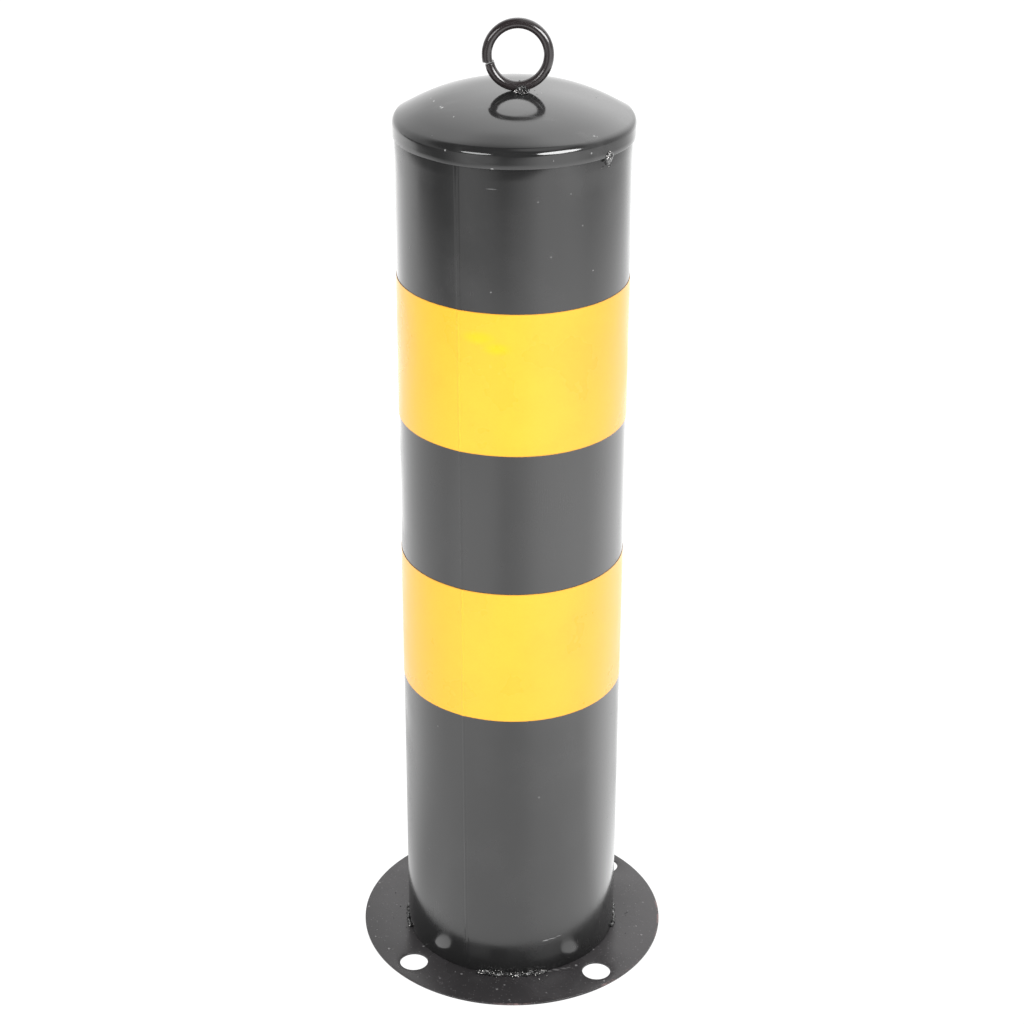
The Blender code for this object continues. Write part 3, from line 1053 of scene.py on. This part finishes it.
def make_cap_tack(node, name, material, seed):
    """A drop of weld metal across the skirt's lower edge."""
    draw = random.Random(seed)
    low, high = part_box(node)
    centre = (low + high) / 2.0
    azimuth = math.atan2(centre.y, centre.x)
    lumps = []
    for sideways, up, size in TACK_LUMPS:
        out = CAP_RADIUS - TACK_SINK - (TACK_STEP_IN if up < -0.001 else 0.0)
        around = azimuth + (sideways + draw.uniform(-TACK_JITTER, TACK_JITTER)) / CAP_RADIUS
        where = at_post(around, out, cap_low.z + up)
        lumps.append(copy_ball(BALL, lump_matrix(where, (size * 0.85, size, size), azimuth)))
    bead = melt_together(lumps, name, voxel=0.00016, depth=0.0004)
    places = []
    for _ in range(TACK_DROPS):
        around = azimuth + draw.uniform(-0.07, 0.07)
        below = draw.uniform(*TACK_DROPS_BELOW)
        where = at_post(around, TUBE_RADIUS + DROP_RISE, cap_low.z - below)
        places.append((where, draw.uniform(*TACK_DROP_SIZES)))
    bead = add_spatter(bead, places)
    smooth(bead, 180.0)
    finish_piece(bead, material, node)


def make_ring_weld(material):
    """Lumps that run the ring's wire into the cap, thickest in front and to the right."""
    draw = random.Random(31)
    wire_foot = Vector((RING_CENTRE.x, RING_CENTRE.y,
                        RING_CENTRE.z - RING_HALF_HEIGHT - WIRE_RADIUS))
    lumps = []
    for across, forward, up, size in RING_LUMPS:
        local = Vector((across, -forward, up)) * MM
        jitter = Vector((draw.uniform(-0.2, 0.2), draw.uniform(-0.2, 0.2), 0.0)) * MM
        where = Matrix.Rotation(RING_TURN, 4, "Z") @ (local + jitter) + wire_foot
        half = size * MM
        lumps.append(copy_ball(BALL, lump_matrix(where, (half, half * 0.9, half * 0.85), 0.0)))
    bead = melt_together(lumps, "ring_bead", voxel=0.00015, depth=0.0006)
    places = []
    for _ in range(RING_DROPS):
        angle = draw.uniform(0.0, 2.0 * math.pi)
        out = draw.uniform(*RING_DROPS_OUT)
        x = RING_CENTRE.x + RING_WELD_SHIFT + out * math.cos(angle)
        y = RING_CENTRE.y + 0.6 * out * math.sin(angle)
        where = Vector((x, y, cap_height(math.hypot(x, y))))
        places.append((where, draw.uniform(*RING_DROP_SIZES)))
    bead = add_spatter(bead, places)
    smooth(bead, 180.0)
    finish_piece(bead, material, "ring_weld")


# ---------------------------------------------------------------- the flange

def make_flange(material):
    """A round plate: loops for its rim, opening and bolt holes, filled, thickened and eased."""
    flange = add_loop("flange_plate", FLANGE_RADIUS, FLANGE_TOP, 288)
    edit(flange)
    bpy.ops.mesh.primitive_circle_add(vertices=192, radius=FLANGE_OPENING,
                                      fill_type="NOTHING", location=(0.0, 0.0, FLANGE_TOP))
    for degrees in BOLT_ANGLES:
        centre = at_post(math.radians(degrees), BOLT_CIRCLE, FLANGE_TOP)
        bpy.ops.mesh.primitive_circle_add(vertices=72, radius=BOLT_HOLE, fill_type="NOTHING",
                                          location=centre)
    bpy.ops.mesh.select_all(action="SELECT")
    bpy.ops.mesh.fill(use_beauty=True)
    bpy.ops.mesh.select_all(action="SELECT")
    bpy.ops.mesh.normals_make_consistent(inside=False)
    leave_edit()
    # A flat sheet has no outside, so it may come out facing down.
    plate = flange.data
    if sum(face.normal.z * face.area for face in plate.polygons) < 0.0:
        plate.flip_normals()
    add_modifier(flange, "SOLIDIFY", thickness=FLANGE_THICKNESS, offset=-1.0)
    add_modifier(flange, "BEVEL", width=FLANGE_EASE, segments=3, limit_method="ANGLE",
                 angle_limit=math.radians(60.0))
    place(flange, Matrix.Translation(FLANGE_SHIFT) @ Matrix.Rotation(FLANGE_TURN, 4, "Z"))
    smooth(flange, 40.0)
    finish_piece(flange, material, "base_flange")


# ---------------------------------------------------------------- studio

def look_at(obj, target):
    obj.rotation_mode = "QUATERNION"
    obj.rotation_quaternion = (target - obj.location).to_track_quat("-Z", "Y")


def add_softbox(name, bearing, elevation, width, height, power, lights_matt, shows_in_gloss):
    """A soft area light at a bearing and a height, aimed at the post."""
    lamp = bpy.data.lights.new(name, "AREA")
    lamp.shape = "ELLIPSE"
    lamp.size = width
    lamp.size_y = height
    lamp.energy = power
    box = bpy.data.objects.new(name, lamp)
    bpy.context.scene.collection.objects.link(box)
    box.location = SOFTBOX_TARGET + aim(bearing, elevation) * SOFTBOX_DISTANCE
    box.visible_diffuse = lights_matt
    box.visible_glossy = shows_in_gloss
    look_at(box, SOFTBOX_TARGET)


def aim(bearing, elevation):
    """Unit direction at a bearing clockwise from the front and a height above the horizon."""
    around = math.radians(bearing)
    up = math.radians(elevation)
    return Vector((math.sin(around) * math.cos(up), -math.cos(around) * math.cos(up),
                   math.sin(up)))


def glow(tree, direction, bearing, elevation, inner, outer):
    """Mask of a round soft patch of sky: 1 within inner degrees of a bearing, 0 past outer."""
    closeness = vector_node(tree, "DOT_PRODUCT", direction, aim(bearing, elevation))
    return ramp(tree, closeness, math.cos(math.radians(outer)), math.cos(math.radians(inner)))


def dim_for_matt(tree, light):
    """The room lights matt surfaces less than it shows in glossy ones: the front fill does that."""
    matt = add_node(tree, "ShaderNodeLightPath").outputs["Is Diffuse Ray"]
    return times(tree, light, math_node(tree, "SUBTRACT", 1.0, times(tree, matt, MATT_LOSS)))


def plain_for_camera(tree, lit, kind, output):
    """The camera sees a plain white, and everything else sees what is lit."""
    seen = add_node(tree, kind)
    put(tree, WHITE, seen.inputs["Color"])
    put(tree, BACKDROP_LIGHT, seen.inputs["Strength"])
    choose = add_node(tree, "ShaderNodeMixShader")
    put(tree, add_node(tree, "ShaderNodeLightPath").outputs["Is Camera Ray"], choose.inputs[0])
    put(tree, lit.outputs[0], choose.inputs[1])
    put(tree, seen.outputs[0], choose.inputs[2])
    put(tree, choose.outputs[0], output.inputs["Surface"])


def make_world():
    """White walls all round, a broad light behind on the right, a dark ceiling over the front."""
    world = bpy.data.worlds.new("studio")
    bpy.context.scene.world = world
    world.use_nodes = True
    tree = world.node_tree
    direction = add_node(tree, "ShaderNodeTexCoord").outputs["Generated"]
    back_wall = glow(tree, direction, *BACK_WALL_PATCH)
    walls = plus(tree, times(tree, back_wall, WALL_LIGHT * BACK_WALL_SHARE),
                 WALL_LIGHT * (1.0 - BACK_WALL_SHARE))
    back_light = glow(tree, direction, *BACK_LIGHT_PATCH)
    walls = plus(tree, times(tree, back_light, BACK_LIGHT), walls)
    ceiling = glow(tree, direction, *CEILING_PATCH)
    open_share = math_node(tree, "SUBTRACT", 1.0, times(tree, ceiling, CEILING_DARKNESS))
    right_glow = glow(tree, direction, *RIGHT_GLOW_PATCH)
    light = plus(tree, times(tree, walls, open_share), times(tree, right_glow, RIGHT_GLOW))
    background = tree.nodes["Background"]
    put(tree, WHITE, background.inputs["Color"])
    put(tree, dim_for_matt(tree, light), background.inputs["Strength"])
    plain_for_camera(tree, background, "ShaderNodeBackground", tree.nodes["World Output"])


def floor_light(tree):
    """How bright the floor is: a wide pool that fades to the front left, two lobes and patches."""
    where = own_place(tree)
    bearing = vector_node(tree, "NORMALIZE", where)
    reach = vector_node(tree, "LENGTH", where)
    outward = vector_node(tree, "DOT_PRODUCT", where, aim(POOL_BEARING, 0.0))
    light = ramp(tree, outward, *POOL_FADE, POOL_LIGHT, POOL_LIGHT * POOL_REST)
    away = ramp(tree, reach, *LOBES_FROM)
    left_lobe = times(tree, glow(tree, bearing, *LEFT_LOBE_PATCH), away)
    light = plus(tree, light, times(tree, left_lobe, LEFT_LOBE))
    right_lobe = times(tree, glow(tree, bearing, *RIGHT_LOBE_PATCH), away)
    right_lobe = times(tree, right_lobe, fall(tree, reach, *RIGHT_LOBE_END))
    light = plus(tree, light, times(tree, right_lobe, RIGHT_LOBE))
    for strength, towards, inner, outer, near, far in FLOOR_PATCHES:
        sector = glow(tree, bearing, towards, 0.0, inner, outer)
        within = fall(tree, reach, far, near) if near > far else ramp(tree, reach, near, far)
        patch = times(tree, times(tree, sector, within), strength)
        if strength > 0.0:
            light = plus(tree, light, patch)
        else:
            light = times(tree, light, plus(tree, 1.0, patch))
    return light


def make_floor():
    """A plain pale floor under the post: plain white to the camera, and for all other rays a glowing
    sheet of painted light and painted shade, the post's own shadow among it.
    """
    deselect()
    bpy.ops.mesh.primitive_plane_add(size=FLOOR_SIZE, location=(0.0, 0.0, -FLOOR_DROP))
    floor = named("pale_floor")
    bpy.ops.object.transform_apply(location=True, rotation=True, scale=True)
    material = bpy.data.materials.new("floor_white")
    material.use_nodes = True
    tree = material.node_tree
    tree.nodes.remove(tree.nodes["Principled BSDF"])
    lit = add_node(tree, "ShaderNodeEmission")
    put(tree, dim_for_matt(tree, floor_light(tree)), lit.inputs["Strength"])
    plain_for_camera(tree, lit, "ShaderNodeEmission", tree.nodes["Material Output"])
    floor.data.materials.append(material)


def make_camera():
    camera_data = bpy.data.cameras.new("camera")
    camera_data.lens = CAMERA_LENS
    camera_data.sensor_width = CAMERA_SENSOR
    camera = bpy.data.objects.new("camera", camera_data)
    bpy.context.scene.collection.objects.link(camera)
    camera.matrix_world = (Matrix.Translation(CAMERA_PLACE)
                           @ Matrix.Rotation(CAMERA_HEADING, 4, "Z")
                           @ Matrix.Rotation(math.pi / 2.0 - CAMERA_PITCH, 4, "X")
                           @ Matrix.Rotation(CAMERA_ROLL, 4, "Z"))
    bpy.context.scene.camera = camera


# ---------------------------------------------------------------- the studio is set up

make_camera()
make_world()
make_floor()
for softbox in SOFTBOXES:
    add_softbox(*softbox)
bpy.context.scene.view_settings.view_transform = "Standard"

# ---------------------------------------------------------------- the finishes are mixed

tube_paint = make_black_paint("tube_black_paint", TUBE_BLACK, TUBE_ROUGHNESS,
                              flecks=placed(TUBE_FLECKS), smudges=placed(TUBE_SMUDGES))
cap_paint = make_black_paint("cap_black_paint", CAP_BLACK, CAP_ROUGHNESS, peel=900.0,
                             peel_depth=0.000005, dust=0.04, dust_scale=230.0, dull=0.08,
                             flecks=placed(CAP_FLECKS), wiped=0.2)
ring_cut = ring_matrix() @ Vector((RING_HALF_WIDTH * math.cos(RING_GAP_AT), 0.0,
                                   RING_HALF_HEIGHT * math.sin(RING_GAP_AT)))
bare_end = (ring_cut, (0.0035, 0.0035, 0.0008), 0.7)
ring_paint = make_black_paint("ring_black_paint", RING_BLACK, RING_ROUGHNESS, peel=1400.0,
                              peel_depth=0.000008, dust=0.05, dust_scale=700.0,
                              flecks=(bare_end,))
flange_paint = make_flange_paint()
weld_paint = make_weld_paint("weld_black_paint", GLINT_SHARE)
# The side and rear stitches get fewer painted glints.
quiet_weld_paint = make_weld_paint("weld_paint_fewer_glints", GLINT_SHARE_QUIET)
lower_tape = make_tape("lower_tape_film", "lower_reflective_band", LOWER_TILT)
upper_tape = make_tape("upper_tape_film", "upper_reflective_band", UPPER_TILT,
                       placed(UPPER_SMEARS))

# ---------------------------------------------------------------- the pieces are made

RIPPLE = ripple_texture()
BALL = make_ball("ball", 3)
SMALL_BALL = make_ball("small_ball", 2)

make_flange(flange_paint)
make_tube(tube_paint)
make_band("lower_reflective_band", "lower_tape", lower_tape, 1.0, LOWER_TILT)
make_band("upper_reflective_band", "upper_tape", upper_tape, 2.0, UPPER_TILT)
make_cap(cap_paint)
make_ring(ring_paint)
make_ring_weld(weld_paint)
make_cap_tack("cap_tack_front", "front_tack", weld_paint, 41)
make_cap_tack("cap_tack_rear", "rear_tack", weld_paint, 42)
for side, start, end, seed, girth, drops in FLANGE_STITCHES:
    paint = weld_paint if side == "front" else quiet_weld_paint
    make_flange_weld("flange_weld_" + side, side + "_stitch", start, end, paint, seed, girth,
                     drops)

for helper in (BALL, SMALL_BALL):
    bpy.data.objects.remove(helper)
